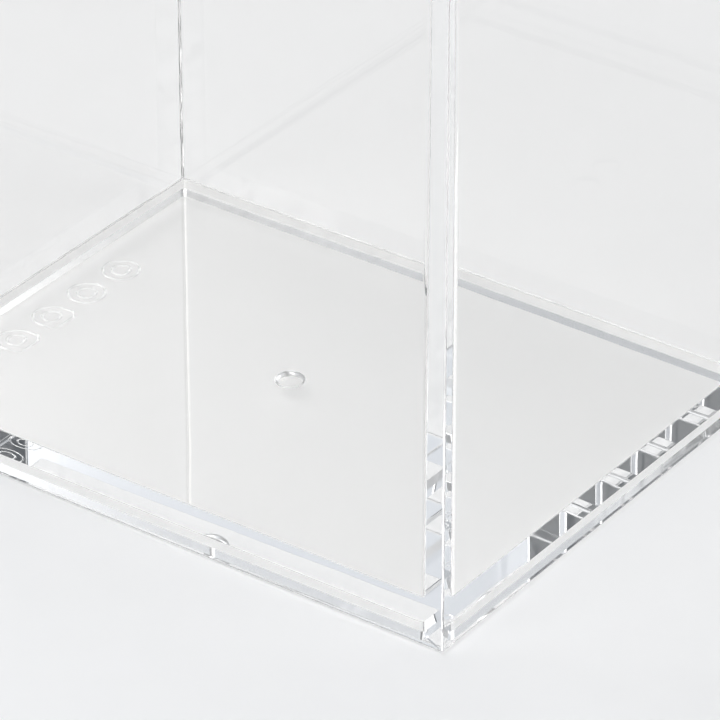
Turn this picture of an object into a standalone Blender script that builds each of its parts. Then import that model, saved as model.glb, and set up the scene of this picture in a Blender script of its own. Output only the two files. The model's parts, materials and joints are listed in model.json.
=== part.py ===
"""A clear moulded display case with a lift-off lid.

Metres, +Z up. The origin is the middle of the footprint, on the surface that the case stands on.
X runs along the case's long side and Y along its short side.
"""

import math

import bmesh
import bpy

# Driving dimensions of the case
CASE_LENGTH = 0.080
CASE_WIDTH = 0.062
CASE_HEIGHT = 0.085
WALL_AT_FLOOR = 0.0037
WALL_AT_RIM = 0.0033
FLOOR_TOP = 0.0041
FOOT_WIDTH = 0.0037
FOOT_HEIGHT = 0.0011
FOOT_DRAFT = 0.0001
OUTER_CORNER = 0.0004
INNER_CORNER = 0.0010
EDGE_RADIUS = 0.0003
FLOOR_FILLET = 0.0002

# Gate mark sunk into the underside of the floor, and mould marks raised on it
GATE_X = -0.0010
GATE_Y = 0.0004
GATE_RADIUS = 0.0017
GATE_DEPTH = 0.0008
MARK_RADIUS = 0.0021
MARK_PITCH = 0.0062
MARK_COUNT = 4
MARK_LINE = 0.00018
MARKS_FROM_WALL = 0.0095
MARKS_FROM_MIDDLE = -0.0009

# Lid
LID_GAP = 0.0003
LID_THICKNESS = 0.0040
LIP_CLEARANCE = 0.0004
LIP_WIDTH = 0.0020
LIP_DEPTH = 0.0030
LIP_DRAFT = 0.0002

# Smoothness of the round stretches, and how far a joined shape reaches into its neighbour
CORNER_STEPS = 8
EDGE_STEPS = 3
GATE_STEPS = 32
DIMPLE_STEPS = 8
RING_STEPS = 20
DOT_STEPS = 12
ARCH_STEPS = 10
LINE_STEPS = 6
OVERLAP = 0.0004


def clear_scene():
    for obj in list(bpy.data.objects):
        bpy.data.objects.remove(obj, do_unlink=True)


def clear_plastic(name, colour, roughness):
    """A clear moulding plastic with the given tint."""
    material = bpy.data.materials.new(name)
    material.use_nodes = True
    shader = material.node_tree.nodes["Principled BSDF"]
    shader.inputs["Base Color"].default_value = (*colour, 1.0)
    shader.inputs["Metallic"].default_value = 0.0
    shader.inputs["Roughness"].default_value = roughness
    shader.inputs["IOR"].default_value = 1.49
    shader.inputs["Transmission Weight"].default_value = 1.0
    return material


def rounded_rectangle(inset, corner):
    """Points round the case's plan outline, moved in by inset, with corners of the given radius."""
    half_x = CASE_LENGTH / 2 - inset - corner
    half_y = CASE_WIDTH / 2 - inset - corner
    points = []
    for quarter in range(4):
        centre_x = half_x if quarter in (0, 3) else -half_x
        centre_y = half_y if quarter in (0, 1) else -half_y
        for step in range(CORNER_STEPS + 1):
            angle = math.radians(90) * (quarter + step / CORNER_STEPS)
            points.append((centre_x + corner * math.cos(angle), centre_y + corner * math.sin(angle)))
    return points


def rounded_edge(inset, height, radius, start_degrees, corner):
    """Rings that turn an edge through 90 degrees, around a centre at (inset, height)."""
    rings = []
    for step in range(EDGE_STEPS + 1):
        angle = math.radians(start_degrees + 90 * step / EDGE_STEPS)
        ring_inset = inset - radius * math.cos(angle)
        ring_height = height + radius * math.sin(angle)
        rings.append((ring_inset, ring_height, corner))
    return rings


def loft(name, rings, material):
    """One closed body through the rings, each (inset, height, corner radius), capped at both ends."""
    mesh = bmesh.new()
    loops = []
    for inset, height, corner in rings:
        outline = rounded_rectangle(inset, corner)
        loops.append([mesh.verts.new((x, y, height)) for x, y in outline])
    for below, above in zip(loops, loops[1:]):
        for index in range(len(below)):
            following = (index + 1) % len(below)
            mesh.faces.new((below[index], below[following], above[following], above[index]))
    mesh.faces.new(loops[0][::-1])
    mesh.faces.new(loops[-1])
    bmesh.ops.recalc_face_normals(mesh, faces=mesh.faces)
    return finished(name, mesh, material)


def finished(name, mesh, material=None):
    """The object of a bmesh, shaded smooth except across real edges."""
    data = bpy.data.meshes.new(name)
    mesh.to_mesh(data)
    mesh.free()
    data.shade_smooth()
    data.set_sharp_from_angle(angle=math.radians(35))
    if material:
        data.materials.append(material)
    obj = bpy.data.objects.new(name, data)
    bpy.context.scene.collection.objects.link(obj)
    return obj


def case_rings():
    """From the underside of the floor, out over the foot rim, up the outside and down the inside."""
    rings = [
        (FOOT_WIDTH + FOOT_DRAFT, FOOT_HEIGHT, INNER_CORNER),
        (FOOT_WIDTH, 0.0, INNER_CORNER),
    ]
    rings += rounded_edge(EDGE_RADIUS, EDGE_RADIUS, EDGE_RADIUS, -90, OUTER_CORNER)
    rings += rounded_edge(EDGE_RADIUS, CASE_HEIGHT - EDGE_RADIUS, EDGE_RADIUS, 0, OUTER_CORNER)
    rim_inner = WALL_AT_RIM - EDGE_RADIUS
    rings += rounded_edge(rim_inner, CASE_HEIGHT - EDGE_RADIUS, EDGE_RADIUS, 90, INNER_CORNER)
    fillet_start = WALL_AT_FLOOR + FLOOR_FILLET
    for step in range(EDGE_STEPS + 1):
        angle = math.radians(180 + 90 * step / EDGE_STEPS)
        ring_inset = fillet_start + FLOOR_FILLET * math.cos(angle)
        ring_height = FLOOR_TOP + FLOOR_FILLET + FLOOR_FILLET * math.sin(angle)
        rings.append((ring_inset, ring_height, INNER_CORNER))
    return rings


def lid_rings():
    """From the lid's underside inside the lip, down and round the lip, and out over the plate."""
    rest = CASE_HEIGHT + LID_GAP
    top = rest + LID_THICKNESS
    lip_outside = WALL_AT_RIM + LIP_CLEARANCE
    lip_inside = lip_outside + LIP_WIDTH
    lip_corner = INNER_CORNER - LIP_CLEARANCE
    rings = [
        (lip_inside + LIP_DRAFT, rest, lip_corner),
        (lip_inside, rest - LIP_DEPTH, lip_corner),
        (lip_outside + LIP_DRAFT + EDGE_RADIUS, rest - LIP_DEPTH, lip_corner),
        (lip_outside + LIP_DRAFT, rest - LIP_DEPTH + EDGE_RADIUS, lip_corner),
        (lip_outside, rest, lip_corner),
    ]
    rings += rounded_edge(EDGE_RADIUS, rest + EDGE_RADIUS, EDGE_RADIUS, -90, OUTER_CORNER)
    rings += rounded_edge(EDGE_RADIUS, top - EDGE_RADIUS, EDGE_RADIUS, 0, OUTER_CORNER)
    return rings


def gate_dimple():
    """The domed shape that the gate mark takes out of the underside of the floor."""
    mesh = bmesh.new()
    profile = [(GATE_RADIUS, FOOT_HEIGHT - OVERLAP)]
    for step in range(DIMPLE_STEPS):
        angle = math.radians(90) * step / DIMPLE_STEPS
        profile.append((GATE_RADIUS * math.cos(angle), FOOT_HEIGHT + GATE_DEPTH * math.sin(angle)))
    loops = []
    for radius, height in profile:
        circle = circle_path(GATE_X, GATE_Y, radius, GATE_STEPS)
        loops.append([mesh.verts.new((x, y, height)) for x, y in circle])
    for below, above in zip(loops, loops[1:]):
        for index in range(GATE_STEPS):
            following = (index + 1) % GATE_STEPS
            mesh.faces.new((below[index], below[following], above[following], above[index]))
    mesh.faces.new(loops[0][::-1])
    mesh.faces.new(loops[-1])
    bmesh.ops.recalc_face_normals(mesh, faces=mesh.faces)
    return helper_shape("gate_dimple", mesh)


def add_line_loop(mesh, path, radius, height):
    """A closed round-section line along a plan path, for a raised mould mark."""
    count = len(path)
    loops = []
    for index in range(count):
        before = path[index - 1]
        after = path[(index + 1) % count]
        length = math.hypot(after[0] - before[0], after[1] - before[1])
        out_x = (after[1] - before[1]) / length
        out_y = -(after[0] - before[0]) / length
        loop = []
        for step in range(LINE_STEPS):
            angle = math.tau * step / LINE_STEPS
            away = radius * math.cos(angle)
            x = path[index][0] + out_x * away
            y = path[index][1] + out_y * away
            loop.append(mesh.verts.new((x, y, height + radius * math.sin(angle))))
        loops.append(loop)
    for index in range(count):
        here = loops[index]
        there = loops[(index + 1) % count]
        for step in range(LINE_STEPS):
            following = (step + 1) % LINE_STEPS
            mesh.faces.new((here[step], there[step], there[following], here[following]))


def circle_path(centre_x, centre_y, radius, steps):
    path = []
    for step in range(steps):
        angle = math.tau * step / steps
        path.append((centre_x + radius * math.cos(angle), centre_y + radius * math.sin(angle)))
    return path


def arch_path(centre_x, centre_y, radius, steps):
    """A half circle towards -X, closed by a straight side."""
    path = []
    for step in range(steps + 1):
        angle = math.radians(90) + math.radians(180) * step / steps
        path.append((centre_x + radius * math.cos(angle), centre_y + radius * math.sin(angle)))
    corner = radius * 0.35
    path.append((centre_x + radius - corner, centre_y - radius))
    path.append((centre_x + radius, centre_y - radius + corner))
    path.append((centre_x + radius, centre_y + radius - corner))
    path.append((centre_x + radius - corner, centre_y + radius))
    return path


def underside_marks():
    """The row of plain mould marks along the -X side."""
    mesh = bmesh.new()
    row_x = -CASE_LENGTH / 2 + MARKS_FROM_WALL
    for index in range(MARK_COUNT):
        row_y = MARKS_FROM_MIDDLE + MARK_PITCH * (index - (MARK_COUNT - 1) / 2)
        if index < MARK_COUNT / 2:
            outline = arch_path(row_x, row_y, MARK_RADIUS, ARCH_STEPS)
        else:
            outline = circle_path(row_x, row_y, MARK_RADIUS, RING_STEPS)
        add_line_loop(mesh, outline, MARK_LINE, FOOT_HEIGHT)
        dot = circle_path(row_x, row_y, MARK_RADIUS / 2, DOT_STEPS)
        add_line_loop(mesh, dot, MARK_LINE, FOOT_HEIGHT)
    bmesh.ops.recalc_face_normals(mesh, faces=mesh.faces)
    return helper_shape("underside_marks", mesh)


def helper_shape(name, mesh):
    """A hidden object that only serves to shape another one."""
    helper = finished(name, mesh)
    helper.hide_render = True
    helper.display_type = "WIRE"
    return helper


def shape_by(obj, helper, operation):
    """Joins the helper to the object, or cuts it out."""
    modifier = obj.modifiers.new(helper.name, "BOOLEAN")
    modifier.operation = operation
    modifier.solver = "EXACT"
    modifier.object = helper


def build():
    clear_scene()
    case_plastic = clear_plastic("clear_case", (0.97, 0.985, 0.99), 0.02)
    lid_plastic = clear_plastic("clear_lid", (0.97, 0.985, 0.99), 0.02)
    case_body = loft("case_body", case_rings(), case_plastic)
    shape_by(case_body, underside_marks(), "UNION")
    shape_by(case_body, gate_dimple(), "DIFFERENCE")
    loft("lid", lid_rings(), lid_plastic)


build()
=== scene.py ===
"""The looks of the clear display case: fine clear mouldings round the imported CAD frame, on a pale floor.

Metres, in the CAD frame: X along the case's long side, Y along its short side, +Z up.
"""

import json
import math

import bmesh
import bpy
from mathutils import Matrix, Vector


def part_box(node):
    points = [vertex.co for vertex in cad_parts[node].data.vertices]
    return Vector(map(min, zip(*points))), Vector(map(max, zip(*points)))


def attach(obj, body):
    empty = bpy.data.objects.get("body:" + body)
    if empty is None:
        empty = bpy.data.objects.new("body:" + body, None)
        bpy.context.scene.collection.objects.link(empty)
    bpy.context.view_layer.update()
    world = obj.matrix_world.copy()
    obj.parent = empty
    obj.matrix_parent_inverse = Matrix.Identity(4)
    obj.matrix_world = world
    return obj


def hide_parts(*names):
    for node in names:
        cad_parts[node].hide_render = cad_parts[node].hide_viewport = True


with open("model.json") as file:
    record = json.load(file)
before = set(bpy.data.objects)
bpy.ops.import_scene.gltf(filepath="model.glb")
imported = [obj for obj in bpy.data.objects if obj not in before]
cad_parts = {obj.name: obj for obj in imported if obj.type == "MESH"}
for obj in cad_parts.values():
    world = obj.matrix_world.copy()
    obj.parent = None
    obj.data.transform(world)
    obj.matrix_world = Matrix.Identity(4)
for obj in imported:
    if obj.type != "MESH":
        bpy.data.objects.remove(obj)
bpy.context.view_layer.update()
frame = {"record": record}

# Places from the frame
CASE_LOW, CASE_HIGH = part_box("case_body")
LID_LOW, LID_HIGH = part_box("lid")
MOUNTS = {mount["name"]: mount["pos_m"] for mount in frame["record"]["mounts"]}
HALF_X = CASE_HIGH.x
HALF_Y = CASE_HIGH.y
CASE_TOP = CASE_HIGH.z
LID_GAP = 0.0003
LID_REST = CASE_TOP + LID_GAP
FLOOR_TOP = MOUNTS["inside_floor"][2]

# The case's walls, floor and foot, as the CAD has them
WALL_AT_FLOOR = 0.0037
WALL_AT_RIM = 0.0033
FOOT_WIDTH = 0.0037
FOOT_HEIGHT = 0.0011
FOOT_DRAFT = 0.0001
LIP_OUTSIDE = 0.0037
LIP_WIDTH = 0.0020
LIP_DRAFT = 0.0002

# Rounding radii of the edges and of the upright corners
EDGE_RADIUS = 0.0003
FLOOR_FILLET = 0.0002
OUTER_CORNER = 0.0002
INNER_CORNER = 0.0005
LIP_CORNER = 0.0005

# Smoothness of the round stretches
CORNER_STEPS = 24
EDGE_STEPS = 6
GATE_STEPS = 64
DOME_STEPS = 32
ARCH_STEPS = 24
RING_STEPS = 48
DOT_STEPS = 32
LINE_STEPS = 10

# Faces within this angle of an axis are shaded flat, and edges sharper than this one are creased
FLAT_DEGREES = 1.0
CREASE_DEGREES = 35

# Gate mark sunk into the underside of the floor, and mould marks raised on it
GATE_CENTRE = (-0.0010, 0.0004)
GATE_RADIUS = 0.0017
GATE_DEPTH = 0.0008
GATE_OVERLAP = 0.0003
MARK_RADIUS = 0.0021
MARK_PITCH = 0.0062
MARK_COUNT = 4
MARK_LINE = 0.00013
MARKS_FROM_WALL = 0.0095
MARK_ROW_X = -HALF_X + MARKS_FROM_WALL
MARK_ROW_Y = -0.0009
ARCH_CORNER = 0.35

# Optics
ACRYLIC_IOR = 1.49
ACRYLIC_TINT = (0.987, 0.984, 0.978)
FLOOR_GAP = 0.00005
LIGHT_BOUNCES = 96

# Light colours
NEUTRAL = (0.996, 0.996, 1.0)
COOL = (0.95, 0.985, 1.04)

# Pale floor
FLOOR_HALF_SIZE = 20.0
FLOOR_SHADES = (0.850, 0.870)

# Camera: where it stands, and how far the lower near corner is from the middle of the picture
CAMERA_AZIMUTH = 35.74
CAMERA_ELEVATION = 31.06
CAMERA_DISTANCE = 0.5029
CORNER_RIGHT_OF_MIDDLE = 0.00829
CORNER_BELOW_MIDDLE = 0.02948
LENS_MM = 250.2
SENSOR_MM = 36.0


# ---------------------------------------------------------------- shapes


def corner_points(half_x, half_y, radius):
    """Points round a rectangle, anticlockwise, with its four corners rounded."""
    points = []
    for quarter in range(4):
        side_x = 1 if quarter in (0, 3) else -1
        side_y = 1 if quarter in (0, 1) else -1
        for step in range(CORNER_STEPS + 1):
            angle = math.radians(90) * (quarter + step / CORNER_STEPS)
            x = half_x - radius + radius * abs(math.cos(angle))
            y = half_y - radius + radius * abs(math.sin(angle))
            points.append((side_x * x, side_y * y))
    return points


def rounded_edge(inset, height, radius, start_degrees, corner):
    """Rings that turn an edge through 90 degrees, around a centre at (inset, height)."""
    rings = []
    for step in range(EDGE_STEPS + 1):
        angle = math.radians(start_degrees + 90 * step / EDGE_STEPS)
        rings.append((inset - radius * math.cos(angle), height + radius * math.sin(angle), corner))
    return rings


def loft(name, rings):
    """One closed moulding through the rings, each (inset from the outline, height, corner radius).

    Its flat faces are shaded flat, so that they bend light as a plane does, and its rounding smooth.
    """
    mesh = bmesh.new()
    loops = []
    for inset, height, corner in rings:
        outline = corner_points(HALF_X - inset, HALF_Y - inset, corner)
        loops.append([mesh.verts.new((x, y, height)) for x, y in outline])
    flat = math.cos(math.radians(FLAT_DEGREES))
    for below, above in zip(loops, loops[1:]):
        for index in range(len(below)):
            following = (index + 1) % len(below)
            face = mesh.faces.new((below[index], below[following], above[following], above[index]))
            face.normal_update()
            in_corner = (index + 1) % (CORNER_STEPS + 1) != 0
            face.smooth = in_corner or max(abs(part) for part in face.normal) < flat
    mesh.faces.new(loops[0][::-1])
    mesh.faces.new(loops[-1])
    bmesh.ops.recalc_face_normals(mesh, faces=mesh.faces)
    return as_object(name, mesh)


def as_object(name, mesh):
    """The object of a bmesh, with a crease in the shading at each real edge."""
    for edge in mesh.edges:
        edge.smooth = edge.calc_face_angle(0.0) < math.radians(CREASE_DEGREES)
    data = bpy.data.meshes.new(name)
    mesh.to_mesh(data)
    mesh.free()
    obj = bpy.data.objects.new(name, data)
    bpy.context.scene.collection.objects.link(obj)
    return obj


def case_rings():
    """From the underside of the floor, out over the foot rim, up the outside and down the inside."""
    rim_inside = WALL_AT_RIM - EDGE_RADIUS
    rim_height = CASE_TOP - EDGE_RADIUS
    rings = [
        (FOOT_WIDTH + FOOT_DRAFT, FOOT_HEIGHT, INNER_CORNER),
        (FOOT_WIDTH, 0.0, INNER_CORNER),
    ]
    rings += rounded_edge(EDGE_RADIUS, EDGE_RADIUS, EDGE_RADIUS, -90, OUTER_CORNER)
    rings += rounded_edge(EDGE_RADIUS, rim_height, EDGE_RADIUS, 0, OUTER_CORNER)
    rings += rounded_edge(rim_inside, rim_height, EDGE_RADIUS, 90, INNER_CORNER)
    fillet_inset = WALL_AT_FLOOR + FLOOR_FILLET
    fillet_height = FLOOR_TOP + FLOOR_FILLET
    for step in range(EDGE_STEPS + 1):
        angle = math.radians(180 + 90 * step / EDGE_STEPS)
        ring_inset = fillet_inset + FLOOR_FILLET * math.cos(angle)
        rings.append((ring_inset, fillet_height + FLOOR_FILLET * math.sin(angle), INNER_CORNER))
    return rings


def lid_rings():
    """From the lid's underside inside the lip, down and round the lip, and out over the plate."""
    lip_inside = LIP_OUTSIDE + LIP_WIDTH
    lip_foot = LIP_OUTSIDE + LIP_DRAFT
    lip_low = LID_LOW.z
    rings = [
        (lip_inside + LIP_DRAFT, LID_REST, LIP_CORNER),
        (lip_inside, lip_low, LIP_CORNER),
        (lip_foot + EDGE_RADIUS, lip_low, LIP_CORNER),
        (lip_foot, lip_low + EDGE_RADIUS, LIP_CORNER),
        (LIP_OUTSIDE, LID_REST, LIP_CORNER),
    ]
    rings += rounded_edge(EDGE_RADIUS, LID_REST + EDGE_RADIUS, EDGE_RADIUS, -90, OUTER_CORNER)
    rings += rounded_edge(EDGE_RADIUS, LID_HIGH.z - EDGE_RADIUS, EDGE_RADIUS, 0, OUTER_CORNER)
    return rings


def cut_gate_dimple(case):
    """Cuts the round domed gate mark out of the underside of the case's floor."""
    mesh = bmesh.new()
    profile = [(GATE_RADIUS, FOOT_HEIGHT - GATE_OVERLAP)]
    for step in range(DOME_STEPS):
        angle = math.radians(90) * step / DOME_STEPS
        profile.append((GATE_RADIUS * math.cos(angle), FOOT_HEIGHT + GATE_DEPTH * math.sin(angle)))
    loops = []
    for reach, height in profile:
        circle = circle_path(*GATE_CENTRE, reach, GATE_STEPS)
        loops.append([mesh.verts.new((x, y, height)) for x, y in circle])
    for below, above in zip(loops, loops[1:]):
        for index in range(GATE_STEPS):
            following = (index + 1) % GATE_STEPS
            mesh.faces.new((below[index], below[following], above[following], above[index]))
    mesh.faces.new(loops[0][::-1])
    mesh.faces.new(loops[-1])
    shape_by(case, "gate_dimple", mesh, "DIFFERENCE")


def circle_path(centre_x, centre_y, radius, steps):
    """Points round a circle in plan, anticlockwise."""
    path = []
    for step in range(steps):
        angle = math.tau * step / steps
        path.append((centre_x + radius * math.cos(angle), centre_y + radius * math.sin(angle)))
    return path


def arch_path(centre_x, centre_y, radius):
    """A half circle towards -X, closed by a straight side."""
    path = []
    for step in range(ARCH_STEPS + 1):
        angle = math.radians(90) + math.radians(180) * step / ARCH_STEPS
        path.append((centre_x + radius * math.cos(angle), centre_y + radius * math.sin(angle)))
    corner = radius * ARCH_CORNER
    path.append((centre_x + radius - corner, centre_y - radius))
    path.append((centre_x + radius, centre_y - radius + corner))
    path.append((centre_x + radius, centre_y + radius - corner))
    path.append((centre_x + radius - corner, centre_y + radius))
    return path


def line_loop(mesh, path, radius):
    """A closed round-section line under the floor along a plan path, for a raised mould mark."""
    count = len(path)
    loops = []
    for index in range(count):
        before = path[index - 1]
        after = path[(index + 1) % count]
        length = math.hypot(after[0] - before[0], after[1] - before[1])
        out_x = (after[1] - before[1]) / length
        out_y = -(after[0] - before[0]) / length
        loop = []
        for step in range(LINE_STEPS):
            angle = math.tau * step / LINE_STEPS
            away = radius * math.cos(angle)
            x = path[index][0] + out_x * away
            y = path[index][1] + out_y * away
            loop.append(mesh.verts.new((x, y, FOOT_HEIGHT + radius * math.sin(angle))))
        loops.append(loop)
    for index in range(count):
        here = loops[index]
        there = loops[(index + 1) % count]
        for step in range(LINE_STEPS):
            following = (step + 1) % LINE_STEPS
            mesh.faces.new((here[step], there[step], there[following], here[following]))


def join_marks(case):
    """Joins the row of plain mould marks to the underside of the case's floor."""
    mesh = bmesh.new()
    for index in range(MARK_COUNT):
        row_y = MARK_ROW_Y + MARK_PITCH * (index - (MARK_COUNT - 1) / 2)
        if index < MARK_COUNT / 2:
            outline = arch_path(MARK_ROW_X, row_y, MARK_RADIUS)
        else:
            outline = circle_path(MARK_ROW_X, row_y, MARK_RADIUS, RING_STEPS)
        line_loop(mesh, outline, MARK_LINE)
        dot = circle_path(MARK_ROW_X, row_y, MARK_RADIUS / 2, DOT_STEPS)
        line_loop(mesh, dot, MARK_LINE)
    shape_by(case, "underside_marks", mesh, "UNION")


def shape_by(obj, name, mesh, operation):
    """Joins a smooth-shaded bmesh to the object, or cuts it out."""
    bmesh.ops.recalc_face_normals(mesh, faces=mesh.faces)
    for face in mesh.faces:
        face.smooth = True
    helper = as_object(name, mesh)
    modifier = obj.modifiers.new(name, "BOOLEAN")
    modifier.operation = operation
    modifier.solver = "EXACT"
    modifier.object = helper
    apply_modifiers(obj)
    bpy.data.objects.remove(helper, do_unlink=True)


def apply_modifiers(obj):
    """Gives the object the mesh that its modifiers make, and drops them."""
    graph = bpy.context.evaluated_depsgraph_get()
    finished = bpy.data.meshes.new_from_object(obj.evaluated_get(graph))
    rough = obj.data
    obj.modifiers.clear()
    obj.data = finished
    bpy.data.meshes.remove(rough)
    finished.name = obj.name


# ---------------------------------------------------------------- materials


def clear_acrylic(name, tint):
    """Polished water-clear acrylic: faint flow marks from the moulding, and a few hazy scuffs."""
    material = bpy.data.materials.new(name)
    material.use_nodes = True
    nodes = material.node_tree.nodes
    links = material.node_tree.links
    shader = nodes["Principled BSDF"]
    shader.inputs["Base Color"].default_value = (*tint, 1.0)
    shader.inputs["Metallic"].default_value = 0.0
    shader.inputs["IOR"].default_value = ACRYLIC_IOR
    shader.inputs["Transmission Weight"].default_value = 1.0

    place = nodes.new("ShaderNodeTexCoord")
    haze = nodes.new("ShaderNodeTexNoise")
    haze.inputs["Scale"].default_value = 55.0
    haze.inputs["Detail"].default_value = 4.0
    haze_range = nodes.new("ShaderNodeMapRange")
    haze_range.inputs["From Min"].default_value = 0.62
    haze_range.inputs["From Max"].default_value = 0.85
    haze_range.inputs["To Min"].default_value = 0.0
    haze_range.inputs["To Max"].default_value = 0.03
    links.new(place.outputs["Object"], haze.inputs["Vector"])
    links.new(haze.outputs["Fac"], haze_range.inputs["Value"])
    links.new(haze_range.outputs["Result"], shader.inputs["Roughness"])

    flow = nodes.new("ShaderNodeTexNoise")
    flow.inputs["Scale"].default_value = 70.0
    flow.inputs["Detail"].default_value = 1.0
    bump = nodes.new("ShaderNodeBump")
    bump.inputs["Strength"].default_value = 0.02
    bump.inputs["Distance"].default_value = 0.0004
    links.new(place.outputs["Object"], flow.inputs["Vector"])
    links.new(flow.outputs["Fac"], bump.inputs["Height"])
    links.new(bump.outputs["Normal"], shader.inputs["Normal"])
    return material


def pale_floor_material():
    """Smooth pale card, very slightly mottled."""
    material = bpy.data.materials.new("pale_floor")
    material.use_nodes = True
    nodes = material.node_tree.nodes
    links = material.node_tree.links
    shader = nodes["Principled BSDF"]
    shader.inputs["Roughness"].default_value = 0.6
    shader.inputs["Specular IOR Level"].default_value = 0.2
    place = nodes.new("ShaderNodeTexCoord")
    mottle = nodes.new("ShaderNodeTexNoise")
    mottle.inputs["Scale"].default_value = 160.0
    mottle.inputs["Detail"].default_value = 5.0
    colour = nodes.new("ShaderNodeMix")
    colour.data_type = "RGBA"
    for socket, shade in zip("AB", FLOOR_SHADES):
        colour.inputs[socket].default_value = (shade, shade, shade, 1.0)
    links.new(place.outputs["Object"], mottle.inputs["Vector"])
    links.new(mottle.outputs["Fac"], colour.inputs["Factor"])
    links.new(colour.outputs["Result"], shader.inputs["Base Color"])
    return material


# ---------------------------------------------------------------- pieces


def make_case():
    case = loft("case_moulding", case_rings())
    join_marks(case)
    cut_gate_dimple(case)
    case.data.materials.clear()
    case.data.materials.append(clear_acrylic("clear_case", ACRYLIC_TINT))
    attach(case, "case")
    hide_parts("case_body")


def make_lid():
    lid = loft("lid_moulding", lid_rings())
    lid.data.materials.append(clear_acrylic("clear_lid", ACRYLIC_TINT))
    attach(lid, "lid")
    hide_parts("lid")


def make_floor():
    mesh = bmesh.new()
    bmesh.ops.create_grid(mesh, x_segments=2, y_segments=2, size=FLOOR_HALF_SIZE)
    floor = as_object("floor", mesh)
    floor.location.z = CASE_LOW.z - FLOOR_GAP
    floor.data.materials.append(pale_floor_material())


# ---------------------------------------------------------------- light and camera


def towards(azimuth, elevation):
    """The direction at these degrees: azimuth 0 is -Y and 90 is +X."""
    turn = math.radians(azimuth)
    rise = math.radians(elevation)
    flat = math.cos(rise)
    return Vector((math.sin(turn) * flat, -math.cos(turn) * flat, math.sin(rise)))


def studio_light(ambient, panels):
    """A dim studio with soft panels: (azimuth, elevation, full degrees, gone degrees, strength, colour)."""
    world = bpy.data.worlds.new("studio")
    bpy.context.scene.world = world
    world.use_nodes = True
    nodes = world.node_tree.nodes
    links = world.node_tree.links
    place = nodes.new("ShaderNodeTexCoord")
    total = nodes.new("ShaderNodeCombineXYZ")
    for axis, value in zip("XYZ", ambient):
        total.inputs[axis].default_value = value
    for azimuth, elevation, full, gone, strength, colour in panels:
        facing = nodes.new("ShaderNodeVectorMath")
        facing.operation = "DOT_PRODUCT"
        facing.inputs[1].default_value = towards(azimuth, elevation)
        links.new(place.outputs["Generated"], facing.inputs[0])
        fade = nodes.new("ShaderNodeMapRange")
        fade.interpolation_type = "SMOOTHSTEP"
        fade.inputs["From Min"].default_value = math.cos(math.radians(gone))
        fade.inputs["From Max"].default_value = math.cos(math.radians(full))
        fade.inputs["To Max"].default_value = strength
        links.new(facing.outputs["Value"], fade.inputs["Value"])
        added = nodes.new("ShaderNodeVectorMath")
        added.operation = "MULTIPLY_ADD"
        added.inputs[1].default_value = colour
        links.new(fade.outputs["Result"], added.inputs[0])
        links.new(total.outputs["Vector"], added.inputs[2])
        total = added
    links.new(total.outputs["Vector"], nodes["Background"].inputs["Color"])


def make_camera():
    """A long lens from in front and to the right, looking down at the lower near corner."""
    azimuth = math.radians(CAMERA_AZIMUTH)
    forward = -towards(CAMERA_AZIMUTH, CAMERA_ELEVATION)
    right = Vector((math.cos(azimuth), math.sin(azimuth), 0.0))
    up = right.cross(forward)
    near_corner = Vector((HALF_X, -HALF_Y, 0.0))
    aim = near_corner - right * CORNER_RIGHT_OF_MIDDLE + up * CORNER_BELOW_MIDDLE
    turn = Matrix((right, up, -forward)).transposed().to_4x4()
    data = bpy.data.cameras.new("camera")
    data.lens = LENS_MM
    data.sensor_width = SENSOR_MM
    data.clip_start = 0.01
    data.clip_end = 100.0
    camera = bpy.data.objects.new("camera", data)
    bpy.context.scene.collection.objects.link(camera)
    camera.matrix_world = Matrix.Translation(aim - forward * CAMERA_DISTANCE) @ turn
    bpy.context.scene.camera = camera


def set_clear_render():
    """Light paths long enough for the walls' inner reflections, with nothing clamped or blurred."""
    scene = bpy.context.scene
    scene.view_settings.view_transform = "Standard"
    scene.cycles.max_bounces = LIGHT_BOUNCES
    scene.cycles.glossy_bounces = LIGHT_BOUNCES
    scene.cycles.transmission_bounces = LIGHT_BOUNCES
    scene.cycles.diffuse_bounces = 4
    scene.cycles.transparent_max_bounces = 16
    scene.cycles.sample_clamp_indirect = 0.0
    scene.cycles.blur_glossy = 0.0
    scene.cycles.use_denoising = True


make_case()
make_lid()
make_floor()
studio_light(
    ambient=(0.082, 0.092, 0.103),
    panels=[
        (268.0, 34.0, 5.0, 36.0, 2.19, NEUTRAL),
        (256.0, 54.0, 8.0, 26.0, 0.66, NEUTRAL),
        (309.0, 55.0, 8.0, 24.0, 0.37, NEUTRAL),
        (8.0, 48.0, 14.0, 34.0, 1.51, NEUTRAL),
        (45.0, 19.0, 8.0, 22.0, 1.07, NEUTRAL),
        (103.0, 55.0, 8.0, 26.0, 1.03, NEUTRAL),
        (140.0, 78.0, 8.0, 34.0, 1.35, NEUTRAL),
        (140.0, 21.0, 5.0, 9.0, 0.68, COOL),
        (152.0, 42.0, 4.0, 9.0, 0.63, COOL),
        (238.0, 30.0, 8.0, 17.0, 1.12, NEUTRAL),
        (224.0, 22.0, 4.0, 13.0, 0.58, NEUTRAL),
        (209.0, 24.0, 3.0, 8.0, 0.44, COOL),
        (218.0, 42.0, 9.0, 15.0, 0.72, COOL),
    ],
)
make_camera()
set_clear_render()
